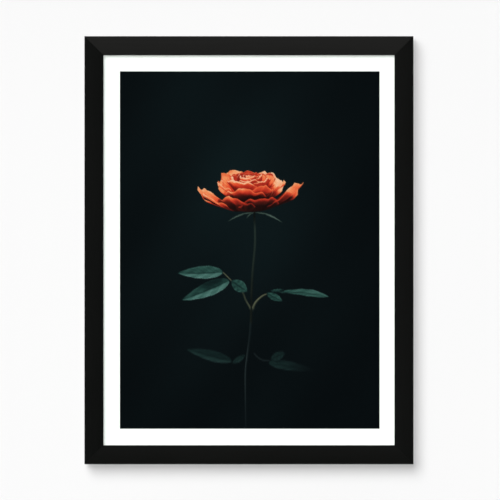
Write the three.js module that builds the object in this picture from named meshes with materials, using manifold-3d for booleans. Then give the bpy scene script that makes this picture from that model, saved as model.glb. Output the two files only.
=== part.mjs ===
// A framed art print that hangs on a wall: a mitred black wooden frame holding clear acrylic, a paper
// print with a white border, two boards behind it, and a back board kept in by turn buttons on screws.
// Millimetres, +Z up. The print faces -Y and the wall is on the +Y side.
// The origin is where the wall's nail bears: the middle notch of the sawtooth hanger.
import * as THREE from "three";
import { mergeVertices } from "three/addons/utils/BufferGeometryUtils.js";
import Module from "manifold-3d";

const wasm = await Module();
wasm.setup();

// ---- Driving dimensions ----

// The print, a sheet of a stock size. Everything else is made round it.
const PAPER_WIDTH = 300;
const PAPER_HEIGHT = 400;
const PAPER_THICKNESS = 0.3;

// The moulding that the four rails are cut from.
const RAIL_WIDTH = 19;
const RAIL_DEPTH = 15;
const LIP_THICKNESS = 2.5;
const LIP_COVER = 3; // how far the lip covers the paper's edge
const POCKET_CLEARANCE = 1; // from the paper's edge to the rabbet's wall
const ARRIS = 0.6; // chamfer on the two front edges

// The boards in the rabbet. The filler takes the depth that the others leave.
const GLAZING_THICKNESS = 1.2;
const BARRIER_THICKNESS = 1.5;
const BACK_BOARD_THICKNESS = 3;
const BACK_BOARD_SINK = 0.2; // below the rails' back faces
const GAP = 0.3; // between any two pieces that touch

// V nails, two in each mitre, driven in from the back.
const V_NAIL_WING = 4.5;
const V_NAIL_METAL = 0.6;
const V_NAIL_LENGTH = 10;
const V_NAIL_SINK = 0.2; // below the rails' back faces
const V_NAIL_FROM_EDGE = 4; // the outer one, from both outer edges
const V_NAIL_FROM_RABBET = 1.5; // the inner one's wing tips, from the rabbet's wall

// Turn buttons and their screws.
const BUTTON_LAP = 9.5; // of the tip on the back board
const BUTTON_WIDTH = 10;
const BUTTON_TIP_WIDTH = 7;
const BUTTON_METAL = 1;
const BUTTON_FROM_CORNER = 75; // the screw, from the frame's corner along the rail
const SCREW_SHANK_RADIUS = 1.5;
const SCREW_LENGTH = 12;
const SCREW_POINT = 2.5;
const SCREW_HEAD_RADIUS = 3.2;
const SCREW_HEAD_HEIGHT = 2;
const SCREW_HEAD_SIDE = 0.8; // the straight part below the dome
const RECESS_WIDTH = 0.9;
const RECESS_LENGTH = 3.4;
const RECESS_DEPTH = 1.1;

// The sawtooth hanger and its two brads.
const HANGER_LENGTH = 45;
const HANGER_HEIGHT = 9;
const HANGER_METAL = 0.8;
const HANGER_TAB = 8; // each flat end
const HANGER_RAMP = 2; // from a tab up to the bridge
const HANGER_LIFT = 2.2; // the bridge, above the tabs
const TOOTH_PITCH = 3;
const TOOTH_DEPTH = 1.6;
const TOOTH_FLAT = 0.4; // a tooth's blunt tip
const BRAD_SHANK_RADIUS = 0.7;
const BRAD_HEAD_RADIUS = 1.8;
const BRAD_HEAD_HEIGHT = 0.8;
const BRAD_HEAD_SIDE = 0.3;
const BRAD_LENGTH = 9;

// Bumpers that hold the frame's foot off the wall.
const BUMPER_RADIUS = 5;
const BUMPER_HEIGHT = 4.2;
const BUMPER_ROUNDING = 1.4;
const BUMPER_FROM_CORNER = 24;

const FLAT_TOP = 0.6; // a domed head's flat crown, as a share of its radius
const ROUND_SEGMENTS = 24;
const SMALL_ROUND_SEGMENTS = 16;
const WELD = 1e-4; // vertices closer than this are one

// ---- What follows from them ----

const halfOuter = {
  x: PAPER_WIDTH / 2 - LIP_COVER + RAIL_WIDTH,
  z: PAPER_HEIGHT / 2 - LIP_COVER + RAIL_WIDTH,
};
const backWidth = RAIL_WIDTH - LIP_COVER - POCKET_CLEARANCE; // of a rail's back face
const railMid = { x: halfOuter.x - backWidth / 2, z: halfOuter.z - backWidth / 2 };
const fillerThickness =
  RAIL_DEPTH - LIP_THICKNESS - BACK_BOARD_SINK - 5 * GAP
  - GLAZING_THICKNESS - PAPER_THICKNESS - BARRIER_THICKNESS - BACK_BOARD_THICKNESS;

const vNailCorners = {
  outer: V_NAIL_FROM_EDGE,
  inner: backWidth - V_NAIL_FROM_RABBET - V_NAIL_WING,
};
const buttonReach = backWidth / 2 + POCKET_CLEARANCE + BUTTON_LAP;
const screwSeat = GAP + BUTTON_METAL + GAP;
const bradSeat = GAP + HANGER_METAL + GAP;
const bradX = (HANGER_LENGTH - HANGER_TAB) / 2;
const hangerFoot = railMid.z - HANGER_HEIGHT / 2;
const notch = { y: (GAP + HANGER_LIFT) / 2, z: hangerFoot + TOOTH_DEPTH };

// ---- Materials ----

function finish(color, roughness, metalness = 0) {
  return new THREE.MeshStandardMaterial({ color, roughness, metalness });
}

const blackStain = finish("#1b1b1a", 0.6);
const acrylic = finish("#e8f0f0", 0.05);
acrylic.transparent = true;
acrylic.opacity = 0.15;
const printedPaper = finish("#0c1418", 0.7);
const whiteBoard = finish("#efece2", 0.85);
const kraftBoard = finish("#b08a5c", 0.9);
const fibreboard = finish("#8f6a45", 0.8);
const zinc = finish("#b9bcbf", 0.4, 1);
const brassedSteel = finish("#b89a5a", 0.35, 1);
const rubber = finish("#2c2c2c", 0.85);

// ---- Geometry helpers ----

// A closed geometry as a manifold-3d solid, and back.
function solid(geometry) {
  const bare = new THREE.BufferGeometry();
  const flat = geometry.index ? geometry.toNonIndexed() : geometry;
  bare.setAttribute("position", flat.getAttribute("position"));
  const merged = mergeVertices(bare, WELD);
  return new wasm.Manifold(new wasm.Mesh({
    numProp: 3,
    vertProperties: new Float32Array(merged.attributes.position.array),
    triVerts: new Uint32Array(merged.index.array),
  }));
}

function geometryOf(manifold) {
  const made = manifold.getMesh();
  const geometry = new THREE.BufferGeometry();
  geometry.setAttribute("position", new THREE.BufferAttribute(made.vertProperties, 3));
  geometry.setIndex(new THREE.BufferAttribute(made.triVerts, 1));
  return geometry.toNonIndexed();
}

function cut(geometry, tools) {
  return geometryOf(tools.reduce((left, tool) => left.subtract(solid(tool)), solid(geometry)));
}

function outline(points) {
  return new THREE.Shape(points.map(([x, y]) => new THREE.Vector2(x, y)));
}

function extruded(shape, depth, curveSegments = 8) {
  return new THREE.ExtrudeGeometry(shape, { depth, bevelEnabled: false, curveSegments });
}

// A shape drawn in X and Z, made solid from y = front to y = back.
function slab(shape, front, back) {
  return extruded(shape, back - front).rotateX(Math.PI / 2).translate(0, back, 0);
}

// A profile of [radius, y] turned about the line along Y through (x, z).
function turned(profile, x = 0, z = 0, segments = ROUND_SEGMENTS) {
  const points = profile.map(([radius, y]) => new THREE.Vector2(radius, y));
  return new THREE.LatheGeometry(points, segments).translate(x, 0, z);
}

function bore(radius, front, back, x, z) {
  return turned([[0, front], [radius, front], [radius, back], [0, back]], x, z, SMALL_ROUND_SEGMENTS);
}

// The points of a quarter ellipse, from the edge at (radius, from) over to a flat at (flat, to).
function dome(radius, flat, from, to, steps = 4) {
  return Array.from({ length: steps + 1 }, (_, i) => {
    const turn = (Math.PI / 2) * (i / steps);
    return [flat + (radius - flat) * Math.cos(turn), from + (to - from) * Math.sin(turn)];
  });
}

// ---- Rails ----

// The moulding's section: [distance in from the outer edge, y].
function mouldingSection() {
  const lipBack = LIP_THICKNESS - RAIL_DEPTH;
  return [
    [0, 0],
    [0, ARRIS - RAIL_DEPTH],
    [ARRIS, -RAIL_DEPTH],
    [RAIL_WIDTH - ARRIS, -RAIL_DEPTH],
    [RAIL_WIDTH, ARRIS - RAIL_DEPTH],
    [RAIL_WIDTH, lipBack],
    [backWidth, lipBack],
    [backWidth, 0],
  ];
}

// Every rail is made as it would lie along the top, from -reach to reach, its outer edge at z = rise.
// The nearer a point is to the inside, the nearer its end of the rail is to the middle: a mitre.
function mitredRail(reach, rise) {
  const geometry = extruded(outline(mouldingSection()), 1);
  const at = geometry.getAttribute("position");
  for (let i = 0; i < at.count; i += 1) {
    const inward = at.getX(i);
    const end = reach - inward - GAP / Math.SQRT2;
    at.setXYZ(i, at.getZ(i) > 0 ? end : -end, at.getY(i), rise - inward);
  }
  return geometry;
}

// A V nail's plan, grown by grow all round, in the corner whose outer edges are at x = cornerX and
// z = cornerZ. Both its wings start fromEdges away from those edges.
function vNailPlan(fromEdges, grow, cornerX, cornerZ) {
  const near = fromEdges - grow;
  const inner = fromEdges + V_NAIL_METAL + grow;
  const far = fromEdges + V_NAIL_WING + grow;
  const corners = [[near, near], [far, near], [far, inner], [inner, inner], [inner, far], [near, far]];
  return outline(corners.map(([p, q]) => [
    cornerX - Math.sign(cornerX) * p,
    cornerZ - Math.sign(cornerZ) * q,
  ]));
}

function vNailSlots(reach, rise) {
  const front = -V_NAIL_SINK - V_NAIL_LENGTH - GAP;
  return [-reach, reach].flatMap((cornerX) => Object.values(vNailCorners).map(
    (fromEdges) => slab(vNailPlan(fromEdges, GAP, cornerX, rise), front, GAP),
  ));
}

function screwHoles(reach, rise) {
  const x = reach - BUTTON_FROM_CORNER;
  const front = screwSeat - SCREW_LENGTH - GAP;
  return [-x, x].map((at) => bore(SCREW_SHANK_RADIUS + GAP, front, GAP, at, rise - backWidth / 2));
}

function bradHoles() {
  const front = bradSeat - BRAD_LENGTH - GAP;
  return [-bradX, bradX].map((x) => bore(BRAD_SHANK_RADIUS + GAP, front, GAP, x, railMid.z));
}

function railGeometry(reach, rise, extraCuts = []) {
  const cuts = [...vNailSlots(reach, rise), ...screwHoles(reach, rise), ...extraCuts];
  return cut(mitredRail(reach, rise), cuts);
}

// ---- What lies in the rabbet ----

function sheet(thickness, front) {
  const geometry = new THREE.BoxGeometry(PAPER_WIDTH, thickness, PAPER_HEIGHT);
  return geometry.translate(0, front + thickness / 2, 0);
}

// ---- Back hardware ----

// A turn button with its screw at the origin and its arm pointing down.
function buttonGeometry() {
  const tip = BUTTON_TIP_WIDTH / 2;
  const shape = new THREE.Shape();
  shape.absarc(0, 0, BUTTON_WIDTH / 2, 0, Math.PI, false);
  shape.absarc(0, tip - buttonReach, tip, Math.PI, 2 * Math.PI, false);
  const hole = new THREE.Path();
  hole.absarc(0, 0, SCREW_SHANK_RADIUS + GAP, 0, 2 * Math.PI, true);
  shape.holes.push(hole);
  // slab turns a shape's +Y to +Z, so the arm, drawn towards -Y, points down.
  return slab(shape, GAP, GAP + BUTTON_METAL);
}

function screwGeometry() {
  const tip = screwSeat - SCREW_LENGTH;
  const crown = screwSeat + SCREW_HEAD_HEIGHT;
  const blank = turned([
    [0, tip],
    [SCREW_SHANK_RADIUS, tip + SCREW_POINT],
    [SCREW_SHANK_RADIUS, screwSeat],
    [SCREW_HEAD_RADIUS, screwSeat],
    ...dome(SCREW_HEAD_RADIUS, SCREW_HEAD_RADIUS * FLAT_TOP, screwSeat + SCREW_HEAD_SIDE, crown),
    [0, crown],
  ]);
  const recess = [0, Math.PI / 2].map((turn) => (
    new THREE.BoxGeometry(RECESS_LENGTH, 2 * RECESS_DEPTH, RECESS_WIDTH).rotateY(turn).translate(0, crown, 0)
  ));
  return cut(blank, recess);
}

// The strip is bent up off the rail between its two tabs, and its lower edge is cut in teeth.
function hangerGeometry() {
  const end = HANGER_LENGTH / 2;
  const foot = end - HANGER_TAB;
  const bridge = foot - HANGER_RAMP;
  const under = [[-end, 0], [-foot, 0], [-bridge, HANGER_LIFT], [bridge, HANGER_LIFT], [foot, 0], [end, 0]];
  const over = under.map(([x, y]) => [x, y + HANGER_METAL]).reverse();
  const strip = extruded(outline([...under, ...over]), HANGER_HEIGHT).translate(0, GAP, hangerFoot);
  return cut(strip, [...toothNotches(bridge), ...tabHoles()]);
}

function toothNotches(bridge) {
  const reach = TOOTH_PITCH / 2 - TOOTH_FLAT / 2;
  const aside = Math.floor(bridge / TOOTH_PITCH - 0.5);
  return Array.from({ length: 2 * aside + 1 }, (_, i) => {
    const x = (i - aside) * TOOTH_PITCH;
    const below = hangerFoot - GAP;
    const wedge = [[x - reach, hangerFoot], [x - reach, below], [x + reach, below], [x + reach, hangerFoot]];
    const plan = outline([...wedge, [x, notch.z]]);
    return slab(plan, 0, GAP + HANGER_LIFT + HANGER_METAL + GAP);
  });
}

function tabHoles() {
  return [-bradX, bradX].map((x) => bore(BRAD_SHANK_RADIUS + GAP, 0, bradSeat, x, railMid.z));
}

function bradGeometry() {
  const tip = bradSeat - BRAD_LENGTH;
  const crown = bradSeat + BRAD_HEAD_HEIGHT;
  return turned([
    [0, tip],
    [BRAD_SHANK_RADIUS, tip + 2 * BRAD_SHANK_RADIUS],
    [BRAD_SHANK_RADIUS, bradSeat],
    [BRAD_HEAD_RADIUS, bradSeat],
    ...dome(BRAD_HEAD_RADIUS, BRAD_HEAD_RADIUS * FLAT_TOP, bradSeat + BRAD_HEAD_SIDE, crown),
    [0, crown],
  ], 0, 0, SMALL_ROUND_SEGMENTS);
}

function bumperGeometry() {
  const top = GAP + BUMPER_HEIGHT;
  return turned([
    [0, GAP],
    [BUMPER_RADIUS, GAP],
    ...dome(BUMPER_RADIUS, BUMPER_RADIUS - BUMPER_ROUNDING, top - BUMPER_ROUNDING, top),
    [0, top],
  ]);
}

// ---- The assembly ----

// The group is built round the middle of the frame, with the rails' backs at y = 0, and then moved.
const assembly = new THREE.Group();
assembly.position.set(0, -notch.y, -notch.z);

function add(name, geometry, material, place = [0, 0, 0], turn = 0) {
  const mesh = new THREE.Mesh(geometry, material);
  mesh.name = name;
  mesh.position.set(...place);
  mesh.rotation.y = turn;
  assembly.add(mesh);
}

function addRails() {
  add("rail_top", railGeometry(halfOuter.x, halfOuter.z, bradHoles()), blackStain);
  add("rail_bottom", railGeometry(halfOuter.x, halfOuter.z), blackStain, [0, 0, 0], Math.PI);
  add("rail_right", railGeometry(halfOuter.z, halfOuter.x), blackStain, [0, 0, 0], Math.PI / 2);
  add("rail_left", railGeometry(halfOuter.z, halfOuter.x), blackStain, [0, 0, 0], -Math.PI / 2);
}

function addSheets() {
  let front = LIP_THICKNESS - RAIL_DEPTH;
  for (const [name, thickness, material] of [
    ["glazing", GLAZING_THICKNESS, acrylic],
    ["print", PAPER_THICKNESS, printedPaper],
    ["barrier_board", BARRIER_THICKNESS, whiteBoard],
    ["filler_board", fillerThickness, kraftBoard],
    ["back_board", BACK_BOARD_THICKNESS, fibreboard],
  ]) {
    front += GAP;
    add(name, sheet(thickness, front), material);
    front += thickness;
  }
}

function addVNails() {
  for (const [corner, sideX, sideZ] of [
    ["top_left", -1, 1],
    ["top_right", 1, 1],
    ["bottom_left", -1, -1],
    ["bottom_right", 1, -1],
  ]) {
    for (const [which, fromEdges] of Object.entries(vNailCorners)) {
      const plan = vNailPlan(fromEdges, 0, sideX * halfOuter.x, sideZ * halfOuter.z);
      const nail = slab(plan, -V_NAIL_SINK - V_NAIL_LENGTH, -V_NAIL_SINK);
      add(`v_nail_${corner}_${which}`, nail, zinc);
    }
  }
}

// Two to a rail. Each arm points in over the back board.
function addButtons() {
  const acrossTop = halfOuter.x - BUTTON_FROM_CORNER;
  const upSide = halfOuter.z - BUTTON_FROM_CORNER;
  for (const [where, x, z, turn] of [
    ["top_left", -acrossTop, railMid.z, 0],
    ["top_right", acrossTop, railMid.z, 0],
    ["right_upper", railMid.x, upSide, Math.PI / 2],
    ["right_lower", railMid.x, -upSide, Math.PI / 2],
    ["bottom_right", acrossTop, -railMid.z, Math.PI],
    ["bottom_left", -acrossTop, -railMid.z, Math.PI],
    ["left_lower", -railMid.x, -upSide, -Math.PI / 2],
    ["left_upper", -railMid.x, upSide, -Math.PI / 2],
  ]) {
    add(`turn_button_${where}`, buttonGeometry(), zinc, [x, 0, z], turn);
    add(`screw_${where}`, screwGeometry(), zinc, [x, 0, z], turn);
  }
}

function addHangerAndBumpers() {
  add("sawtooth_hanger", hangerGeometry(), brassedSteel);
  for (const [where, side] of [["left", -1], ["right", 1]]) {
    const bumperX = side * (halfOuter.x - BUMPER_FROM_CORNER);
    add(`hanger_brad_${where}`, bradGeometry(), brassedSteel, [side * bradX, 0, railMid.z]);
    add(`bumper_${where}`, bumperGeometry(), rubber, [bumperX, 0, -railMid.z]);
  }
}

addRails();
addSheets();
addVNails();
addButtons();
addHangerAndBumpers();

export default assembly;
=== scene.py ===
"""The looks of a framed art print: black stained rails, acrylic, a paper print of a rose, and the fittings
on the back.

Sizes are in millimetres round the middle of the frame. The rails' back faces are at y = 0 and the print
faces -Y. placed() takes them to metres in the model's own axes.
"""

import math

import bmesh
import bpy
import numpy as np
from mathutils import Matrix, Vector
from mathutils.bvhtree import BVHTree


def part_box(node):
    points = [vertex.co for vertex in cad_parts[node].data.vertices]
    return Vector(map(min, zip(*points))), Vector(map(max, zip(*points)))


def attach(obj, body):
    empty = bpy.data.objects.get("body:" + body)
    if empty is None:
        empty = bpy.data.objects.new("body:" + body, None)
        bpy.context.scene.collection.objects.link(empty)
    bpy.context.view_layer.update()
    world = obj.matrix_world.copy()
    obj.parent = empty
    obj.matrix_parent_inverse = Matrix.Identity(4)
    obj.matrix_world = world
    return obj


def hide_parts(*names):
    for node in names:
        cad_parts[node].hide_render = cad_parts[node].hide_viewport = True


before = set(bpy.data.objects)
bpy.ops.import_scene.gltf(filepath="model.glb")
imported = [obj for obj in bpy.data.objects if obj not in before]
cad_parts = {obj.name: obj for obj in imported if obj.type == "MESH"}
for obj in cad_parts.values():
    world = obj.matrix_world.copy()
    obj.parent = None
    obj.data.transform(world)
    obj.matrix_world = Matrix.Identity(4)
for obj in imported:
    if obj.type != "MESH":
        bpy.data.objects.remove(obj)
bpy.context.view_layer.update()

MM = 0.001

# --- sizes taken from the frame's own nodes ---


def box_mm(name):
    """A node's lowest and highest corner in mm, round the middle of the frame."""
    low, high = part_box(name)
    return np.array((low - MIDDLE) / MM), np.array((high - MIDDLE) / MM)


TOP_RAIL, FOOT_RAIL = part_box("rail_top"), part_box("rail_bottom")
MIDDLE = Vector((0.0, TOP_RAIL[1].y, (TOP_RAIL[1].z + FOOT_RAIL[0].z) / 2))
RAIL_LOW, RAIL_HIGH = box_mm("rail_top")
HALF_OUTER = {"x": box_mm("rail_right")[1][0], "z": RAIL_HIGH[2]}
RAIL_DEPTH = -RAIL_LOW[1]
RAIL_WIDTH = RAIL_HIGH[2] - RAIL_LOW[2]
PRINT_LOW, PRINT_HIGH = box_mm("print")
LIP_BACK = box_mm("glazing")[0][1] - 0.3

# --- sizes of the fittings, as the frame's nodes have them ---

GAP = 0.3
BACK_WIDTH = 15.0
ARRIS = 0.6
ROUND_STEPS = 5
V_NAIL_WING, V_NAIL_METAL, V_NAIL_DEPTH = 4.5, 0.6, 10.2
V_NAIL_FROM_EDGES = (4.0, 9.0)
SCREW_FROM_CORNER = 75.0
SCREW_SHANK, SCREW_THREAD, SCREW_PITCH = 1.05, 1.5, 1.3
SCREW_TIP, SCREW_SEAT, SCREW_CROWN = -10.4, 1.6, 3.6
SCREW_HEAD = 3.2
BUTTON_WIDTH, BUTTON_TIP, BUTTON_REACH, BUTTON_METAL = 10.0, 7.0, 18.0, 1.0
RIB_WIDTH, RIB_HEIGHT, RIB_FROM_HEAD, RIB_FROM_TIP = 2.6, 0.22, 1.4, 3.4
HANGER_LENGTH, HANGER_HEIGHT, HANGER_METAL = 45.0, 9.0, 0.8
HANGER_TAB, HANGER_RAMP, HANGER_LIFT = 8.0, 2.0, 2.2
HANGER_LEVELS = (0.0, 0.3, 0.7, 1.0)
TOOTH_PITCH, TOOTH_DEPTH, TOOTH_FLAT = 3.0, 1.6, 0.4
BRAD_SHANK, BRAD_HEAD, BRAD_TIP, BRAD_SEAT, BRAD_CROWN = 0.7, 1.8, -7.6, 1.4, 2.2
BUMPER_RADIUS, BUMPER_TOP, BUMPER_ROUNDING, BUMPER_FROM_CORNER = 5.0, 4.5, 1.4, 24.0
# The dimple in a bumper's crown: (radius, depth).
BUMPER_DIMPLE = ((1.9, 0.0), (1.5, 0.12), (0.9, 0.3), (0.0, 0.36))
SHARP_EDGE = math.radians(32)

# --- small helpers ---


def srgb(code):
    """The three parts of a hex colour, 0 to 1."""
    return [int(code[i:i + 2], 16) / 255 for i in (1, 3, 5)]


def linear(code, alpha=1.0):
    """A hex colour, or sRGB values from 0 to 1, as linear light."""
    values = np.asarray(srgb(code) if isinstance(code, str) else code, float)
    light = np.where(values <= 0.04045, values / 12.92, ((values + 0.055) / 1.055) ** 2.4)
    return (*light.tolist(), alpha) if light.ndim == 1 else light


def placed(points):
    """Points in mm round the middle of the frame, as points in metres in the row frame."""
    return np.asarray(points, float).reshape(-1, 3) * MM + np.array(MIDDLE)


def made(name, points, faces):
    """A mesh object from points in mm and faces."""
    mesh = bpy.data.meshes.new(name)
    mesh.from_pydata(placed(points).tolist(), [], [tuple(map(int, face)) for face in faces])
    mesh.validate()
    found = bpy.data.objects.new(name, mesh)
    bpy.context.scene.collection.objects.link(found)
    return found


def facing_out(piece):
    """Turns a closed mesh's faces outward."""
    form = bmesh.new()
    form.from_mesh(piece.data)
    bmesh.ops.remove_doubles(form, verts=form.verts, dist=1e-7)
    bmesh.ops.recalc_face_normals(form, faces=form.faces)
    form.to_mesh(piece.data)
    form.free()
    return piece


def smoothed(piece):
    """Smooth shading with edges sharper than SHARP_EDGE kept."""
    piece.data.shade_smooth()
    piece.data.set_sharp_from_angle(angle=SHARP_EDGE)
    return piece


def applied(piece):
    """The piece's mesh as its modifiers leave it, with the modifiers gone."""
    result = bpy.data.meshes.new_from_object(piece.evaluated_get(bpy.context.evaluated_depsgraph_get()))
    piece.modifiers.clear()
    piece.data = result
    return piece


def cut_from(piece, tools):
    """Cuts each closed tool out of the piece."""
    for tool in tools:
        facing_out(tool)
        modifier = piece.modifiers.new("cut", "BOOLEAN")
        modifier.operation, modifier.solver, modifier.object = "DIFFERENCE", "EXACT", tool
    applied(piece)
    for tool in tools:
        bpy.data.objects.remove(tool)
    return piece


def eased(piece, width, steps=2):
    """A small rounding on the piece's sharp edges, as a finished edge has."""
    modifier = piece.modifiers.new("eased_edges", "BEVEL")
    modifier.width, modifier.segments, modifier.limit_method = width * MM, steps, "ANGLE"
    modifier.angle_limit = SHARP_EDGE
    modifier.harden_normals = False
    return piece


def dressed(piece, material, body, slot, *nodes):
    """Gives a piece its material and body, and hides the nodes it stands for. Its slot is not used."""
    if material not in piece.data.materials[:]:
        piece.data.materials.clear()
        piece.data.materials.append(material)
    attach(piece, body)
    if nodes:
        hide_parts(*nodes)
    return piece


def turned(profile, x, z, around=40):
    """Points and faces of a profile of (radius, y) turned about the line along Y through (x, z)."""
    points, faces = [], []
    count = len(profile)
    for k in range(around):
        a = 2 * math.pi * k / around
        points += [(x + r * math.cos(a), y, z + r * math.sin(a)) for r, y in profile]
    for k in range(around):
        near, far = k * count, (k + 1) % around * count
        faces += [(near + i, near + i + 1, far + i + 1, far + i) for i in range(count - 1)]
    return points, faces


def quarter(radius, flat, low, high, steps=6):
    """A quarter ellipse from the edge at (radius, low) over to (flat, high)."""
    turns = [math.pi / 2 * i / steps for i in range(steps + 1)]
    return [(flat + (radius - flat) * math.cos(t), low + (high - low) * math.sin(t)) for t in turns]


def ends_and_sides(count):
    """The faces of a solid whose points are one outline of count points and then the same outline again."""
    faces = [tuple(range(count)), tuple(range(2 * count - 1, count - 1, -1))]
    return faces + [(i, (i + 1) % count, count + (i + 1) % count, count + i) for i in range(count)]


def prism(name, outline, front, back):
    """An outline in x and z made solid from y = front to y = back."""
    points = [(x, y, z) for y in (front, back) for x, z in outline]
    return facing_out(made(name, points, ends_and_sides(len(outline))))


def drilled(radius, front, back, x, z, around=24):
    """A plug to cut a round hole with."""
    turns = [2 * math.pi * k / around for k in range(around)]
    return prism("plug", [(x + radius * math.cos(t), z + radius * math.sin(t)) for t in turns], front, back)


def set_in_place(piece, x, z, turn):
    """Turns a piece made at the frame's middle about Y, and moves it to (x, z)."""
    centre = Matrix.Translation(MIDDLE)
    there = Matrix.Translation(Vector((x, 0, z)) * MM)
    piece.data.transform(there @ centre @ Matrix.Rotation(turn, 4, "Y") @ centre.inverted())


# --- the printed picture ---
# It is a rose worked out in 3-D and seen from the front: X right, Y into the picture, Z up, in mm.

GOLDEN_ANGLE = math.radians(137.5)
VIEW_TILT = math.radians(15)
# The flower's middle, the calyx under it, and the fork where the twigs leave the stem.
FLOWER_AT = np.array([0.5, 0.0, 62.5])
CALYX_AT = np.array([4.5, 0.0, 37.5])
FORK_AT = CALYX_AT + [-2.6, 0, -98]
KEY_DIRECTION = (-0.34, -0.36, 0.87)
FILL_DIRECTION = (-0.95, -0.25, -0.12)
# The outermost petals: (degrees round the flower, rim radius, rim height, half spread in radians).
SAUCER = ((176, 49, -1.0, 0.48), (206, 47, 0.0, 0.58), (243, 40, 1.0, 0.62), (287, 39, 1.0, 0.66),
          (327, 43, 2.0, 0.55), (7, 49, 4.0, 0.46), (60, 40, 5.0, 0.60), (118, 40, 5.0, 0.60))
# Rays that look at the plant start this far in front of it.
IN_FRONT = -300.0
# The plant lies between these: (left, right) and (foot, top).
PLANT_ACROSS, PLANT_UP = (-85, 85), (-183, 85)
# The places round a point of the print where its colour is taken, in shares of the step to the next point.
SAMPLES = tuple((a, b) for a in (-1 / 3, 0, 1 / 3) for b in (-1 / 3, 0, 1 / 3))
ROSE_SEED = 11
# The light on the plant: rays to a source and how wide it is, and how far other petals shade the sky.
KEY_RAYS, KEY_WIDTH, FILL_RAYS, FILL_WIDTH, SKY_RAYS = 9, 0.22, 5, 0.45, 20
SKY_REACH, OFF_SURFACE = 25.0, 0.3
KINDS = ("petal", "leaf", "sepal", "stalk", "stem", "mirrored_leaf", "mirrored_stem")


def unit(v):
    """Vectors made one long."""
    v = np.asarray(v, float)
    return v / np.maximum(np.linalg.norm(v, axis=-1, keepdims=True), 1e-9)


def smooth(low, high, x):
    """An even rise from 0 at low to 1 at high, flat at both ends."""
    t = np.clip((x - low) / (high - low), 0, 1)
    return t * t * (3 - 2 * t)


def petal(rng, azimuth, spread, profile, cup=0.0, roll=0.0, point=0.0, ruffle=0.6, across=29, along=23):
    """A petal: its middle line is a curve out from the flower's axis, and its sides wrap round the axis."""
    # u runs from side to side and v from base to rim. The sides are shorter than the middle.
    u, v = np.meshgrid(np.linspace(-1, 1, across), np.linspace(0, 1, along), indexing="ij")
    length = v * (1 - 0.24 * np.abs(u) ** 2.6)
    (r0, z0), (r1, z1), (r2, z2) = profile
    r = r0 * (1 - length) ** 2 + 2 * r1 * length * (1 - length) + r2 * length ** 2
    z = z0 * (1 - length) ** 2 + 2 * z1 * length * (1 - length) + z2 * length ** 2
    width = spread * (0.30 + 0.70 * np.sin(np.pi * np.minimum(length, 0.9) / 1.7) ** 0.9)
    # Towards its rim the petal waves, rolls outward and comes to a soft point.
    rim = smooth(0.55, 1.0, v)
    a, b, c = rng.uniform(0, 2 * np.pi, 3)
    wave = np.sin(2.1 * np.pi * u + a) + 0.6 * np.sin(3.9 * np.pi * u + b)
    wave = wave + 0.3 * np.sin(7.3 * np.pi * u + c)
    tip = point * rim * np.exp(-((u / 0.25) ** 2))
    r = r - cup * u * u * length + roll * rim ** 1.5 + tip
    z = z + ruffle * wave * smooth(0.4, 1.0, v) - roll * rim ** 2 + 0.6 * tip
    r = r + 0.6 * ruffle * np.roll(wave, 4, 0) * smooth(0.5, 1.0, v)
    angle = azimuth + u * width
    return np.stack([r * np.cos(angle), r * np.sin(angle), z], -1), u, v


def rose(rng):
    """The flower's petals round its own upright axis, from the bud in the middle out to the saucer. In a
    ring's pairs, the first value is the innermost petal's and the second the outermost's."""
    petals = []
    turn = 0.9

    def ring(count, rims, heights, spreads, base, belly, **more):
        nonlocal turn
        for i in range(count):
            k = i / max(count - 1, 1)
            rim = rims[0] + (rims[1] - rims[0]) * k
            top = heights[0] + (heights[1] - heights[0]) * k + rng.uniform(-0.7, 0.7)
            spread = (spreads[0] + (spreads[1] - spreads[0]) * k) * rng.uniform(0.92, 1.08)
            middle = (rim * belly[0] + belly[1], top * 0.5 + base[1] * 0.5 + belly[2])
            turn += GOLDEN_ANGLE + rng.uniform(-0.12, 0.12)
            petals.append(petal(rng, turn, spread, [base, middle, (rim, top)], **more))

    # The furled bud, the two rings that make the dome round it, and the shoulders under the dome.
    ring(5, (1.4, 4.2), (14.0, 14.0), (2.0, 1.3), (0.6, -6), (1.7, 1.5, 8.5),
         cup=0.3, roll=0.2, ruffle=0.3)
    ring(6, (5.5, 11.0), (14.2, 14.0), (1.35, 1.0), (1.5, -12), (1.5, 2.0, 11.0),
         cup=0.3, roll=0.6, point=0.6, ruffle=0.5)
    ring(7, (13.5, 22.0), (13.6, 12.4), (0.95, 0.78), (2.2, -16), (1.35, 2.0, 10.0),
         cup=0.1, roll=1.2, point=1.4, ruffle=0.8)
    ring(7, (26.0, 33.0), (12.0, 10.6), (0.72, 0.62), (2.6, -19), (0.90, 2.0, -2.0),
         roll=3.2, point=2.8, ruffle=1.2)
    for degrees, rim, top, spread in SAUCER:
        profile = [(3.0, -22.0), (rim * 0.74, top * 0.5 - 23.0), (rim, top)]
        petals.append(petal(rng, math.radians(degrees), spread, profile,
                            cup=-0.5, roll=1.8, point=3.2, ruffle=1.2))
    return petals


def upright(points):
    """From the flower's own axes to the picture's: it is seen from a little above."""
    x, y, z = points[..., 0], points[..., 1], points[..., 2]
    c, s = math.cos(VIEW_TILT), math.sin(VIEW_TILT)
    return np.stack([x, y * c - z * s, y * s + z * c], -1)


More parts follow.
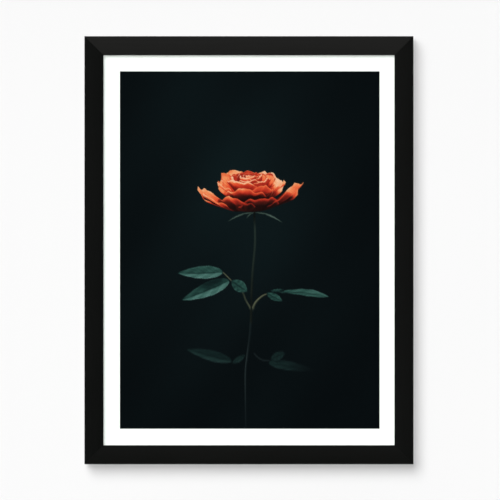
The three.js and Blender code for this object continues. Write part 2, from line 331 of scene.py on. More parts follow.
def blade(base, tip, width, normal, sag=0.0, fold=0.3, teeth=0, belly=0.42, across=13, along=57):
    """A leaflet or sepal from base to tip, creased along its middle, its edge cut in small teeth."""
    s, t = np.meshgrid(np.linspace(0, 1, along), np.linspace(-1, 1, across), indexing="ij")
    base, tip = np.asarray(base, float), np.asarray(tip, float)
    run = tip - base
    side = unit(np.cross(run, normal))
    up = unit(np.cross(side, run))
    power = math.log(0.5) / math.log(belly)
    half = width / 2 * np.sin(np.pi * s ** power) ** 0.8 * (1 - 0.15 * s)
    if teeth:
        half = half * (1 + 0.09 * ((s * teeth) % 1.0 - 0.5))
    crease = fold * np.abs(t) * half * (1 - 0.3 * np.abs(t))
    lift = crease - sag * np.sin(np.pi * s) + 0.25 * np.sin(9 * np.pi * s) * t ** 2
    points = base + s[..., None] * run + (t * half)[..., None] * side + lift[..., None] * up
    return points, t, s


def tube(line, radii, around=8):
    """A stalk along a line of points, with its radius at each."""
    along = unit(np.gradient(line, axis=0))
    side = unit(np.cross(along, [0.0, 1.0, 0.0]))
    up = np.cross(side, along)
    a = np.linspace(0, 2 * np.pi, around + 1)
    round_ = np.cos(a)[None, :, None] * side[:, None] + np.sin(a)[None, :, None] * up[:, None]
    s, t = np.meshgrid(np.linspace(0, 1, len(line)), np.cos(a), indexing="ij")
    return line[:, None] + np.asarray(radii)[:, None, None] * round_, t, s


def curve(points, count):
    """A smooth line of count points through the given ones (Catmull-Rom)."""
    p = np.asarray(points, float)
    p = np.vstack([2 * p[0] - p[1], p, 2 * p[-1] - p[-2]])
    out = []
    for k in np.linspace(0, len(p) - 3 - 1e-6, count):
        i = int(k)
        t = k - i
        a, b, c, d = p[i:i + 4]
        square, cube = 2 * a - 5 * b + 4 * c - d, 3 * b - a - 3 * c + d
        out.append(0.5 * (2 * b + (c - a) * t + square * t * t + cube * t ** 3))
    return np.array(out)


def stem_and_sepals():
    """The stem from the flower down to the fork, and the sepals that hang under the petals."""
    line = ([0, 0, 3], [0.3, 0, -8], [0.8, 0, -30], [-1.8, 0, -62], [-2.8, 0, -85], [-3.2, 0, -111])
    radii = np.linspace(0.95, 1.2, 60)
    radii[:3] = [3.4, 2.4, 1.4]
    found = [("stem", *tube(curve([CALYX_AT + d for d in line], 60), radii))]
    towards = (0, -0.8, 0.6)
    for reach, drop, width in ((-27, -9.0, 2.6), (29, -10, 2.8), (-8, -6, 1.8)):
        foot, knee = CALYX_AT + [0, -3, 0.6], CALYX_AT + [reach * 0.48, -4, -1.2]
        bend, tip = CALYX_AT + [reach * 0.36, -4, -0.6], CALYX_AT + [reach, -4, drop]
        found.append(("sepal", *blade(foot, knee, width * 0.9, towards, belly=0.6)))
        found.append(("sepal", *blade(bend, tip, width, towards, sag=-1.2, belly=0.3)))
    return found


def twigs_and_leaves():
    """The two twigs that leave the stem at the fork, with three leaflets each."""
    line_left = ([0, 0, 0], [-6, -1, 10], [-9.5, -2, 18], [-22, -3, 31], [-29, -3, 38])
    line_right = ([0.8, 0, 1], [4.5, -1, 8], [11, -2, 14], [18, -2, 17])
    left = curve([FORK_AT + d for d in line_left], 24)
    right = curve([FORK_AT + d for d in line_right], 20)
    found = [("stalk", *tube(left, np.linspace(1.0, 0.5, 24))),
             ("stalk", *tube(right, np.linspace(1.2, 0.5, 20)))]
    joint, end, hand = left[17], left[-1], right[-1]
    for base, tip, width, normal, sag, teeth, belly in (
        (end, end + [-46, -4, -1], 17, (0.05, -0.80, 0.60), 1.0, 19, 0.40),
        (joint + [-1, -1, -1], joint + [-49, -9, -21], 17, (0.12, -0.85, 0.52), 1.2, 20, 0.40),
        (joint + [1, -1, -1], joint + [17, -4, -12], 13, (-0.25, -0.85, 0.45), 0.8, 13, 0.52),
        (hand + [3, -1, 1], hand + [60, -6, -4], 12, (0.0, -0.62, 0.78), -2.4, 21, 0.66),
        (hand + [-3, -1, 0], hand + [13, -5, -8], 9, (-0.1, -0.75, 0.6), 0.6, 11, 0.5),
        (hand + [1, -1, 2], hand + [15, -3, 3.5], 4, (0.0, -0.7, 0.7), 0.2, 7, 0.45),
    ):
        found.append(("leaf", *blade(base, tip, width, normal, sag=sag, teeth=teeth, belly=belly)))
    return found


def mirrored_plant():
    """What dark still water under the fork shows: the stem carried on down, and fainter leaves."""
    line = ([1.2, 4, -68], [0.2, 4, -84], [-2.4, 4, -106], [-4.2, 4, -123], [-4.2, 4, -150], [-3.8, 4, -182])
    stem = curve([FORK_AT, *line], 70)
    twig = curve([[4.2, 4, -104], [8, 4, -108], [13, 4, -111], [20, 4, -111.5]], 14)
    found = [("mirrored_stem", *tube(stem, np.linspace(1.1, 0.7, 70))),
             ("mirrored_stem", *tube(twig, np.full(14, 0.55)))]
    for base, tip, width, normal, belly in (
        ((-18, 4, -112.6), (-64, 3, -100.4), 13, (0.1, -0.86, 0.5), 0.42),
        ((-18, 4, -115), (-4.2, 4, -106), 6, (0.0, -0.9, 0.4), 0.5),
        ((19, 4, -114), (68, 2, -122), 12, (0.0, -0.8, 0.6), 0.36),
        ((21, 5, -111), (36, 5, -103.5), 9, (0.0, -0.95, 0.3), 0.5),
    ):
        found.append(("mirrored_leaf", *blade(base, tip, width, normal, sag=0.6, belly=belly)))
    return found


def plant(rng):
    """Every surface of the plant: (kind, points, across, along)."""
    petals = [("petal", upright(p) + FLOWER_AT, u, v) for p, u, v in rose(rng)]
    return petals + stem_and_sepals() + twigs_and_leaves() + mirrored_plant()


def joined(found):
    """All surfaces as one set of triangles: points, faces, and each point's kind, across, along, normal."""
    points, faces, rows = [], [], []
    first = 0
    for kind, grid, across, along in found:
        a, b = grid.shape[:2]
        i, j = np.meshgrid(np.arange(a - 1), np.arange(b - 1), indexing="ij")
        q = first + i * b + j
        quads = np.stack([q, q + b, q + b + 1, q + 1], -1).reshape(-1, 4)
        faces += [quads[:, [0, 1, 2]], quads[:, [0, 2, 3]]]
        normal = unit(np.cross(np.gradient(grid, axis=0), np.gradient(grid, axis=1)))
        points.append(grid.reshape(-1, 3))
        rows.append(np.column_stack([np.full(a * b, KINDS.index(kind)), across.ravel(), along.ravel(),
                                     normal.reshape(-1, 3)]))
        first += a * b
    rows = np.concatenate(rows)
    return np.concatenate(points), np.concatenate(faces), rows[:, 0], rows[:, 1], rows[:, 2], rows[:, 3:]


def turned_to(directions, axis):
    """Directions given about +Z, turned to be about axis."""
    helper = np.array([0.0, 0.0, 1.0]) if abs(axis[2]) < 0.9 else np.array([1.0, 0.0, 0.0])
    a = unit(np.cross(helper, axis))
    return directions @ np.stack([a, np.cross(axis, a), axis])


def cone(count, radius):
    """Directions about +Z, evenly spread in a cone whose edge is at tangent radius."""
    i = np.arange(count) + 0.5
    r, a = radius * np.sqrt(i / count), i * GOLDEN_ANGLE
    return unit(np.stack([r * np.cos(a), r * np.sin(a), np.ones(count)], -1))


def hemisphere(count):
    """Directions about +Z, spread by cosine."""
    i = np.arange(count) + 0.5
    r, a = np.sqrt(i / count), i * GOLDEN_ANGLE
    return np.stack([r * np.cos(a), r * np.sin(a), np.sqrt(1 - r * r)], -1)


def light_at(tree, place, normal, key, fill, sky):
    """The light at a point: key and fill on its seen side, key through from behind it, and open sky."""
    near, far = Vector(place + OFF_SURFACE * normal), Vector(place - OFF_SURFACE * normal)

    def reaching(start, rays, sign):
        clear = [tree.ray_cast(start, Vector(ray))[0] is None for ray in rays]
        return np.mean([max(0.0, sign * float(ray @ normal)) * free for ray, free in zip(rays, clear)])

    open_sky = 0.0
    for d in turned_to(sky, normal):
        distance = tree.ray_cast(near, Vector(d), SKY_REACH)[3]
        open_sky += (0.5 + 0.5 * d[2]) * (1.0 if distance is None else 0.4 * distance / SKY_REACH)
    return reaching(near, key, 1), reaching(near, fill, 1), reaching(far, key, -1), open_sky / len(sky)


PETAL_RAMP = ((0, "#160909"), (.12, "#4c1510"), (.27, "#a3261b"), (.43, "#d84a2d"), (.58, "#e97045"),
              (.74, "#f09765"), (.90, "#f3b08a"), (1.0, "#f5ccb2"))
LEAF_RAMP = ((0, "#0b1a1b"), (.2, "#142b29"), (.45, "#2a4b45"), (.75, "#557a74"), (1.0, "#8aa5a0"))
SEPAL_RAMP = ((0, "#0b1617"), (.3, "#27342f"), (.6, "#6b7a73"), (1.0, "#b4beb8"))
STALK_RAMP = ((0, "#0b1414"), (.3, "#2b3028"), (.6, "#66664f"), (1.0, "#a19b76"))
PETAL_BASE_TINT = (1.0, 0.78, 0.72)
STEM_TINT = (0.82, 1.0, 1.12)
WET_STEM = "#8fa3a0"


def on_ramp(values, ramp):
    """sRGB colours, 0 to 1, along a ramp of (value, hex)."""
    stops = [stop for stop, _ in ramp]
    colours = np.array([srgb(code) for _, code in ramp])
    return np.stack([np.interp(values, stops, colours[:, i]) for i in range(3)], -1)


def petal_colour(across, along, place, key, fill, through, sky):
    """Petals glow where light comes through them, pale at the rim and deep red low down and to the right."""
    x, z = place[:, 0], place[:, 2]
    streak = np.sin(across * 31 + 3 * np.sin(along * 5)) + 0.6 * np.sin(across * 73 + 2)
    # The fill from the left fades towards the right, and the dome's top is bright.
    fill = fill * (1 - 0.75 * smooth(-45, 25, x))
    bright = 0.20 * smooth(52, 62, z) + 0.64 * key + 0.66 * fill + 0.36 * sky ** 1.4
    bright = bright + 0.30 * through * smooth(0.45, 1.0, along)
    bright = bright * (0.52 + 0.48 * smooth(0.1, 0.8, along)) * (1 + 0.04 * streak)
    # Under the dome and out on the right it falls dark. The thin edge of a rim is pale wherever it is.
    under = smooth(57, 43, z) * np.exp(-((x - 9) / 33) ** 2)
    bright = bright * (1 - 0.78 * under) * (1 - 0.52 * smooth(28, 56, x))
    bright = np.minimum(bright + (0.21 + 0.06 * key) * smooth(0.91, 1.0, along), 0.93)
    base = 1 - smooth(0.35, 0.95, along)[:, None]
    return on_ramp(bright, PETAL_RAMP) * (1 + base * (np.array(PETAL_BASE_TINT) - 1))


def leaf_colour(across, along, key, fill, through, sky):
    """A leaflet is dark along its midrib and side veins, lighter at its edge and on one half."""
    side_vein = np.exp(-((np.abs(across) * 1.9 - along * 9) % 1.0 - 0.5) ** 2 / 0.012)
    green = 0.45 * key + 0.20 * fill + 0.16 * through + 0.14 * sky
    green = 1.12 * green * (1 + 0.10 * np.sin(along * 23 + across * 5)) - 0.10 * side_vein
    green = green - 0.30 * np.exp(-(across / 0.09) ** 2) + 0.16 * smooth(0.80, 1, np.abs(across))
    green = green - 0.06 * np.clip(across * 3, -1, 1)
    green = green + 0.05 * np.sin(across * 29 + along * 41) * np.sin(across * 17 - along * 61)
    return on_ramp(green, LEAF_RAMP)


def coloured(kind, across, along, place, key, fill, through, sky):
    """The printed colour at each point of the plant, from its kind, place on its surface and light."""
    x, z = place[:, 0], place[:, 2]
    petals = petal_colour(across, along, place, key, fill, through, sky)
    leaf = leaf_colour(across, along, key, fill, through, sky)
    sepals = on_ramp(0.41 + 0.42 * key + 0.3 * sky - 0.25 * np.abs(across), SEPAL_RAMP)
    stalk = on_ramp(0.18 + 0.5 * key + 0.3 * sky, STALK_RAMP)
    up_the_stem = (0.28 + 0.54 * smooth(-60, 25, z)) * (1 - 0.6 * smooth(20, 36, z))
    stem = stalk * STEM_TINT * up_the_stem[:, None]
    water = ground(x, z)
    mirrored_leaf = water + (leaf - water) * 0.42 * smooth(70, 22, x)[:, None]
    lit_side = np.exp(-((across + 0.5) / 0.35) ** 2) * (0.22 + 0.78 * smooth(-88, -112, z))
    gleam = (0.07 + 0.34 * lit_side) * (1 - 0.65 * smooth(-125, -180, z))
    mirrored_stem = water + (np.array(srgb(WET_STEM)) - water) * gleam[:, None]
    looks = [petals, leaf, sepals, stalk, stem, mirrored_leaf, mirrored_stem]
    return np.select([(kind == number)[:, None] for number in range(len(KINDS))], looks)


def ground(x, z):
    """The picture's background: near-black teal, a little lighter behind the flower's upper left."""
    glow = np.exp(-(((x + 10) / 95) ** 2 + ((z - 60) / 150) ** 2))
    drift = 0.5 + 0.25 * np.sin(x / 31 + 1.3) * np.sin(z / 43 + 0.4) + 0.25 * np.sin(x / 17 - z / 23)
    shade = np.clip(0.70 * glow + 0.30 * drift * (1 - smooth(-40, 130, x) * 0.5), 0, 1)[..., None]
    return np.array(srgb("#020609")) * (1 - shade) + np.array(srgb("#0b181b")) * shade


def first_seen(tree, points, faces, colours, x, z):
    """The plant's colour seen at each (x, z), and whether any of the plant is there."""
    into = Vector((0.0, 1.0, 0.0))
    hits = [tree.ray_cast(Vector((a, IN_FRONT, b)), into) for a, b in zip(x.ravel(), z.ravel())]
    seen = np.array([hit[2] is not None for hit in hits])
    found = np.zeros((len(hits), 3))
    if seen.any():
        corners = faces[[hit[2] for hit in hits if hit[2] is not None]]
        place = np.array([hit[0] for hit in hits if hit[2] is not None])
        a, b, c = (points[corners[:, k]] for k in range(3))
        across = np.cross(b - a, c - a)
        size = np.maximum(np.einsum("ij,ij->i", across, across), 1e-12)
        share_a = np.einsum("ij,ij->i", np.cross(c - b, place - b), across) / size
        share_b = np.einsum("ij,ij->i", np.cross(a - c, place - c), across) / size
        shares = np.stack([share_a, share_b, 1 - share_a - share_b], -1)
        found[seen] = (colours[corners] * shares[..., None]).sum(1)
    return found.reshape(x.shape + (3,)), seen.reshape(x.shape)


def lit_plant(rng):
    """The plant's points and faces, and each point's colour. Only points in view are lit."""
    points, faces, kind, across, along, normal = joined(plant(rng))
    tree = BVHTree.FromPolygons(points.tolist(), faces.tolist())
    x, z = np.meshgrid(np.arange(*PLANT_ACROSS, 0.5), np.arange(*PLANT_UP, 0.5))
    into = Vector((0.0, 1.0, 0.0))
    hits = {tree.ray_cast(Vector((a, IN_FRONT, b)), into)[2] for a, b in zip(x.ravel(), z.ravel())} - {None}
    seen = np.unique(faces[sorted(hits)])
    key = turned_to(cone(KEY_RAYS, KEY_WIDTH), unit(KEY_DIRECTION))
    fill = turned_to(cone(FILL_RAYS, FILL_WIDTH), unit(FILL_DIRECTION))
    sky = hemisphere(SKY_RAYS)
    light = np.zeros((len(points), 4))
    for i in seen:
        facing = normal[i] if normal[i][1] < 0 else -normal[i]
        light[i] = light_at(tree, points[i], facing, key, fill, sky)
    return points, faces, coloured(kind, across, along, points, *light.T)


def painted(columns, rows, rng):
    """The picture's sRGB colour at every (row, column)."""
    points, faces, colours = lit_plant(rng)
    tree = BVHTree.FromPolygons(points.tolist(), faces.tolist())
    x, z = np.meshgrid(columns, rows)
    picture = ground(x, z)
    step_x, step_z = np.abs(np.gradient(columns)), np.abs(np.gradient(rows))
    near_x = np.flatnonzero(np.abs(columns) < PLANT_ACROSS[1] + 1)
    near_z = np.flatnonzero(rows < PLANT_UP[1] + 1)
    part = np.ix_(near_z, near_x)
    for du, dv in SAMPLES:
        at_x, at_z = x[part] + du * step_x[near_x], z[part] + dv * step_z[near_z][:, None]
        colour, seen = first_seen(tree, points, faces, colours, at_x, at_z)
        picture[part] += (colour - ground(x[part], z[part])) * seen[..., None] / len(SAMPLES)
    return picture

# --- materials ---


def node(material, kind, settings=None, **links):
    """Adds a node. Settings are its properties, socket values and colour stops, and links join its inputs,
    by name or, as i0, by number."""
    tree = material.node_tree
    added = tree.nodes.new("ShaderNode" + kind)
    for name, value in (settings or {}).items():
        if name == "stops":
            while len(added.color_ramp.elements) < len(value):
                added.color_ramp.elements.new(0.5)
            for element, (place, code) in zip(added.color_ramp.elements, value):
                element.position, element.color = place, linear(code)
        elif isinstance(name, str) and hasattr(added, name) and name not in added.inputs:
            setattr(added, name, value)
        else:
            added.inputs[name].default_value = value
    for name, source in links.items():
        by_number = name[0] == "i" and name[1:].isdigit()
        join(material, source, added.inputs[int(name[1:]) if by_number else name.replace("_", " ")])
    return added


def material_named(name, **settings):
    """A new material with one Principled shader set to the given values, and that shader."""
    material = bpy.data.materials.new(name)
    material.use_nodes = True
    shader = material.node_tree.nodes["Principled BSDF"]
    for key, value in settings.items():
        shader.inputs[key.replace("_", " ")].default_value = value
    return material, shader


def join(material, source, socket):
    """Links a socket, or a node's first output, to an input socket."""
    start = source if isinstance(source, bpy.types.NodeSocket) else source.outputs[0]
    material.node_tree.links.new(start, socket)


def per_metre(size_mm):
    """The noise scale at which one cell is about size_mm wide."""
    return 1000.0 / size_mm


def stained_wood():
    """Ramin, planed, stained black and waxed: near black and matt, with a fine straight grain of faint
    streaks and small open pores. Each rail is mixed by its own share towards a paler black."""
    material, shader = material_named("Black_stained_ramin", IOR=1.45, Specular_IOR_Level=0.06)
    grain = node(material, "Attribute", {"attribute_name": "grain", "attribute_type": "GEOMETRY"})
    place = grain.outputs["Vector"]
    streak_size = {"Scale": (per_metre(60), per_metre(1.1), per_metre(1.1))}
    pore_size = {"Scale": (per_metre(5), per_metre(0.45), per_metre(0.45))}
    streak_map = node(material, "Mapping", streak_size, Vector=place)
    streaks = node(material, "TexNoise", {"Scale": 1.0, "Detail": 4.0, "Roughness": 0.6}, Vector=streak_map)
    pore_map = node(material, "Mapping", pore_size, Vector=place)
    pores = node(material, "TexNoise", {"Scale": 1.0, "Detail": 2.0, "Roughness": 0.5}, Vector=pore_map)
    broad = node(material, "TexNoise", {"Scale": per_metre(90), "Detail": 2.0}, Vector=place)
    drift = node(material, "Math", {"operation": "MULTIPLY_ADD", 1: 0.35, 2: 0.0}, i0=broad)
    mixed = node(material, "Math", {"operation": "MULTIPLY_ADD", 1: 0.65}, i0=streaks, i2=drift)
    shades = {"stops": ((0.30, WOOD_DARK), (0.52, WOOD_MID), (0.72, WOOD_LIGHT))}
    colour = node(material, "ValToRGB", shades, i0=mixed)
    open_pores = node(material, "ValToRGB", {"stops": ((0.30, "#606060"), (0.42, "#ffffff"))}, i0=pores)
    stained = node(material, "Mix", {"data_type": "RGBA", "blend_type": "MULTIPLY", 0: 0.75},
                   i6=colour, i7=open_pores)
    # Each rail's own share, read from its attribute, mixes the wood towards WOOD_PALE.
    stain = node(material, "Attribute", {"attribute_name": "stain", "attribute_type": "GEOMETRY"})
    paler = node(material, "Mix", {"data_type": "RGBA", 7: linear(WOOD_PALE)},
                 i0=stain.outputs["Fac"], i6=stained.outputs[2])
    join(material, paler.outputs[2], shader.inputs["Base Color"])
    rough = node(material, "MapRange", {"From Min": 0.3, "From Max": 0.7, "To Min": 0.50, "To Max": 0.64},
                 Value=streaks)
    join(material, rough, shader.inputs["Roughness"])
    height = node(material, "Math", {"operation": "MULTIPLY_ADD", 1: 0.5}, i0=pores, i2=streaks)
    bump = node(material, "Bump", {"Strength": 0.25, "Distance": 0.12 * MM}, Height=height)
    join(material, bump, shader.inputs["Normal"])
    return material


WOOD_DARK, WOOD_MID, WOOD_LIGHT, WOOD_PALE = "#030403", "#060706", "#0a0b0a", "#171716"


def clear_acrylic():
    """Cast acrylic, polished: seen straight through, and only its gloss shows, most at a glancing angle.
    Only the faces towards the viewer have gloss, because light that goes straight through isn't mirrored
    inside."""
    material = bpy.data.materials.new("Clear_cast_acrylic")
    material.use_nodes = True
    tree = material.node_tree
    tree.nodes.remove(tree.nodes["Principled BSDF"])
    place = node(material, "TexCoord").outputs["Object"]
    ripple = node(material, "TexNoise", {"Scale": per_metre(120), "Detail": 1.0}, Vector=place)
    bump = node(material, "Bump", {"Strength": 0.05, "Distance": 0.05 * MM}, Height=ripple)
    through = node(material, "BsdfTransparent", {"Color": linear("#fdfffe")})
    gloss = node(material, "BsdfGlossy", {"Color": linear("#ffffff"), "Roughness": 0.03}, Normal=bump)
    share = node(material, "Fresnel", {"IOR": 1.49})
    outside = node(material, "Math", {"operation": "SUBTRACT", 0: 1.0},
                   i1=node(material, "NewGeometry").outputs["Backfacing"])
    share = node(material, "Math", {"operation": "MULTIPLY"}, i0=share, i1=outside)
    mixed = node(material, "MixShader", i0=share, i1=through, i2=gloss)
    join(material, mixed, tree.nodes["Material Output"].inputs["Surface"])
    return material


def fibre_bump(material, place, fine_mm, depth_mm, strength):
    """The height of matted fibres, each about fine_mm across."""
    matted = {"Scale": per_metre(fine_mm), "Detail": 4.0, "Roughness": 0.65}
    fine = node(material, "TexNoise", matted, Vector=place)
    return node(material, "Bump", {"Strength": strength, "Distance": depth_mm * MM}, Height=fine)


def cotton_paper():
    """Cotton rag paper, uncoated: warm white and dull, with a soft tooth. The tooth is drawn at 0.9 mm,
    coarser than real, so that it shows."""
    material, shader = material_named("Uncoated_cotton_paper", IOR=1.5, Roughness=0.92)
    place = node(material, "TexCoord").outputs["Object"]
    mottle = node(material, "TexNoise", {"Scale": per_metre(7), "Detail": 3.0}, Vector=place)
    colour = node(material, "ValToRGB", {"stops": ((0.3, "#fbfaf7"), (0.7, "#fefefd"))}, i0=mottle)
    join(material, colour, shader.inputs["Base Color"])
    join(material, fibre_bump(material, place, 0.9, 0.04, 0.35), shader.inputs["Normal"])
    return material


def pigment_ink():
    """Pigment ink sprayed on cotton paper: the picture's own colours, dense and matt, with the paper's tooth
    showing as a faint speckle in the darks."""
    material, shader = material_named("Pigment_ink_on_cotton_paper", IOR=1.5, Specular_IOR_Level=0.04)
    ink = node(material, "Attribute", {"attribute_name": "ink", "attribute_type": "GEOMETRY"})
    place = node(material, "TexCoord").outputs["Object"]
    speckle = node(material, "TexNoise", {"Scale": per_metre(0.8), "Detail": 2.0}, Vector=place)
    grain = node(material, "ValToRGB", {"stops": ((0.25, "#dcdcdc"), (0.75, "#ffffff"))}, i0=speckle)
    printed = node(material, "Mix", {"data_type": "RGBA", "blend_type": "MULTIPLY", 0: 0.8},
                   i6=ink.outputs["Color"], i7=grain)
    join(material, printed.outputs[2], shader.inputs["Base Color"])
    rough = node(material, "MapRange", {"To Min": 0.72, "To Max": 0.86}, Value=speckle)
    join(material, rough, shader.inputs["Roughness"])
    join(material, fibre_bump(material, place, 0.9, 0.02, 0.05), shader.inputs["Normal"])
    return material


def board(name, low, high, flecks, fleck_mm, roughness, bump_strength=0.3):
    """A board of pressed fibres: two shades in a broad mottle, with flecks of single fibres."""
    material, shader = material_named(name, IOR=1.5)
    place = node(material, "TexCoord").outputs["Object"]
    clouded = {"Scale": per_metre(14), "Detail": 5.0, "Roughness": 0.6}
    mottle = node(material, "TexNoise", clouded, Vector=place)
    colour = node(material, "ValToRGB", {"stops": ((0.3, low), (0.7, high))}, i0=mottle)
    lying = {"Rotation": (0.0, 0.6, 0.0), "Scale": (1.0, 1.0, 0.3)}
    stretched = node(material, "Mapping", lying, Vector=place)
    fibres = node(material, "TexNoise", {"Scale": per_metre(fleck_mm), "Detail": 3.0, "Distortion": 0.8},
                  Vector=stretched)
    mask = node(material, "MapRange", {"From Min": 0.56, "From Max": 0.72, "To Min": 0.0, "To Max": 0.6},
                Value=fibres)
    mixed = node(material, "Mix", {"data_type": "RGBA", 7: linear(flecks)}, i0=mask, i6=colour)
    join(material, mixed.outputs[2], shader.inputs["Base Color"])
    worn = {"To Min": roughness - 0.06, "To Max": roughness + 0.05}
    rough = node(material, "MapRange", worn, Value=mottle)
    join(material, rough, shader.inputs["Roughness"])
    join(material, fibre_bump(material, place, fleck_mm * 0.6, 0.06, bump_strength), shader.inputs["Normal"])
    return material


def metal(name, dark, light, fleck_mm, low_rough, high_rough):
    """Plated sheet steel: patches of slightly different grey or yellow where the plate took unevenly, and
    the fine scratches of tumbling in a barrel, drawn 0.25 mm apart, coarser than real, so that they show."""
    material, shader = material_named(name, Metallic=1.0)
    place = node(material, "TexCoord").outputs["Object"]
    cells = node(material, "TexVoronoi", {"Scale": per_metre(fleck_mm), "Randomness": 1.0}, Vector=place)
    clouds = node(material, "TexNoise", {"Scale": per_metre(fleck_mm * 2), "Detail": 4.0}, Vector=place)
    tone = node(material, "Mix", {"data_type": "FLOAT", 0: 0.35}, i2=clouds, i3=cells.outputs["Color"])
    colour = node(material, "ValToRGB", {"stops": ((0.3, dark), (0.7, light))}, i0=tone.outputs[0])
    join(material, colour, shader.inputs["Base Color"])
    lying = {"Rotation": (0.0, 0.5, 0.0), "Scale": (1.0, 1.0, 0.12)}
    scratch_map = node(material, "Mapping", lying, Vector=place)
    scratches = node(material, "TexNoise", {"Scale": per_metre(0.25), "Detail": 2.0}, Vector=scratch_map)
    worn = {"From Min": 0.3, "From Max": 0.7, "To Min": low_rough, "To Max": high_rough}
    rough = node(material, "MapRange", worn, Value=scratches)
    join(material, rough, shader.inputs["Roughness"])
    bump = node(material, "Bump", {"Strength": 0.12, "Distance": 0.02 * MM}, Height=scratches)
    join(material, bump, shader.inputs["Normal"])
    return material


def moulded_rubber():
    """Nitrile rubber, moulded: dark grey and dull, with a fine satin grain from the mould and some bloom."""
    material, shader = material_named("Moulded_nitrile_rubber", IOR=1.52)
    place = node(material, "TexCoord").outputs["Object"]
    bloom = node(material, "TexNoise", {"Scale": per_metre(2.5), "Detail": 3.0}, Vector=place)
    colour = node(material, "ValToRGB", {"stops": ((0.35, "#262626"), (0.75, "#343433"))}, i0=bloom)
    join(material, colour, shader.inputs["Base Color"])
    rough = node(material, "MapRange", {"To Min": 0.62, "To Max": 0.82}, Value=bloom)
    join(material, rough, shader.inputs["Roughness"])
    join(material, fibre_bump(material, place, 0.35, 0.02, 0.3), shader.inputs["Normal"])
    return material


WOOD = stained_wood()
ACRYLIC = clear_acrylic()
PAPER = cotton_paper()
INK = pigment_ink()
# Solid-core mount board: bright white, smooth and dull.
WHITE_BOARD = board("White_mount_board", "#f0ece0", "#f7f4ea", "#e8e3d4", 1.4, 0.86)
# Kraft paper: brown, soft and dull, with darker single fibres.
KRAFT = board("Brown_kraft_card", "#a98155", "#b98f60", "#8a6640", 1.2, 0.88)
# Hardboard: pressed brown wood fibre, hard and slightly polished by the press.
FIBREBOARD = board("Pressed_hardboard", "#7f5c3a", "#94704a", "#64462b", 1.8, 0.66, 0.45)
# Zinc-plated sheet steel: pale grey, half shiny, with the patchy bloom of the plate.
ZINC = metal("Zinc_plated_steel", "#a5a8aa", "#c6c8c9", 1.6, 0.28, 0.46)
# Brass-plated steel: pale yellow and shiny, duller where handled.
BRASS = metal("Brass_plated_steel", "#a98a48", "#c9a961", 2.2, 0.22, 0.40)
RUBBER = moulded_rubber()

# --- the rails ---


MITRE_GAP = 0.03
# How far each rail's wood is mixed towards a paler black: most on the top rail, none on the left.
RAIL_TONES = {"rail_top": 1.0, "rail_bottom": 0.28, "rail_left": 0.0, "rail_right": 0.18}


def moulding():
    """The rails' section: (inward from the outer edge, y), with both front arrises rounded over."""
    turns = [math.pi / 2 * i / ROUND_STEPS for i in range(ROUND_STEPS + 1)]
    outer = [(ARRIS - ARRIS * math.cos(t), ARRIS - RAIL_DEPTH - ARRIS * math.sin(t)) for t in turns]
    inner = [(RAIL_WIDTH - a, y) for a, y in reversed(outer)]
    return [(0, 0)] + outer + inner + [(RAIL_WIDTH, LIP_BACK), (BACK_WIDTH, LIP_BACK), (BACK_WIDTH, 0)]


def v_slots(reach, rise, grow=GAP):
    """The slots for the V nails at both ends of a rail that lies along the top."""
    slots = []
    for side in (-1, 1):
        for edge in V_NAIL_FROM_EDGES:
            near, inner, far = edge - grow, edge + V_NAIL_METAL + grow, edge + V_NAIL_WING + grow
            plan = [(near, near), (far, near), (far, inner), (inner, inner), (inner, far), (near, far)]
            outline = [(side * (reach - p), rise - q) for p, q in plan]
            slots.append(prism("slot", outline, -V_NAIL_DEPTH - grow, 1.0))
    return slots


def rail(name, reach, rise, turn, extra=()):
    """A mitred rail, made as it would lie along the top and turned about Y to its own place."""
    section = moulding()
    points = [(side * (reach - inward - MITRE_GAP), y, rise - inward)
              for side in (-1, 1) for inward, y in section]
    piece = facing_out(made(name, points, ends_and_sides(len(section))))
    along = reach - SCREW_FROM_CORNER
    middle = rise - BACK_WIDTH / 2
    screws = [drilled(SCREW_THREAD + GAP, SCREW_TIP - GAP, 1.0, x, middle) for x in (-along, along)]
    brads = [drilled(BRAD_SHANK + GAP, BRAD_TIP - GAP, 1.0, x, middle) for x in extra]
    cut_from(piece, v_slots(reach, rise) + screws + brads)
    mark_grain(piece, turn, RAIL_TONES[name])
    set_in_place(piece, 0, 0, turn)
    return dressed(smoothed(piece), WOOD, "frame", "frame_wood", name)


def mark_grain(piece, turn, tone):
    """Gives a rail that still lies along the top its own stretch of grain, and its share of paler black."""
    at = np.empty(len(piece.data.vertices) * 3)
    piece.data.vertices.foreach_get("co", at)
    own_length = [1.7 * turn, 0.31 * turn, 0.0]
    grain = piece.data.attributes.new("grain", "FLOAT_VECTOR", "POINT")
    grain.data.foreach_set("vector", (at.reshape(-1, 3) - np.array(MIDDLE) + own_length).ravel())
    # The rail's share of paler black, the same all over it.
    stain = piece.data.attributes.new("stain", "FLOAT", "POINT")
    stain.data.foreach_set("value", np.full(len(piece.data.vertices), tone, np.float32))


def rails():
    """The four rails. A side rail is made like the others, with the frame's height and width swapped."""
    brads = (-(HANGER_LENGTH - HANGER_TAB) / 2, (HANGER_LENGTH - HANGER_TAB) / 2)
    x, z = HALF_OUTER["x"], HALF_OUTER["z"]
    rail("rail_top", x, z, 0.0, brads)
    rail("rail_bottom", x, z, math.pi)
    rail("rail_right", z, x, math.pi / 2)
    rail("rail_left", z, x, -math.pi / 2)


# --- what lies in the rabbet ---


def stations(*runs):
    """A line of places: each run is (from, to, about what step)."""
    line = []
    for low, high, step in runs:
        line += np.linspace(low, high, max(2, round(abs(high - low) / step) + 1))[:-1].tolist()
    return np.array(line + [runs[-1][1]])


# The picture's half width and height, and how far it is printed right of and above the sheet's middle.
PICTURE_HALF = (131.2, 180.6)
PICTURE_OFF = (0.8, 0.15)


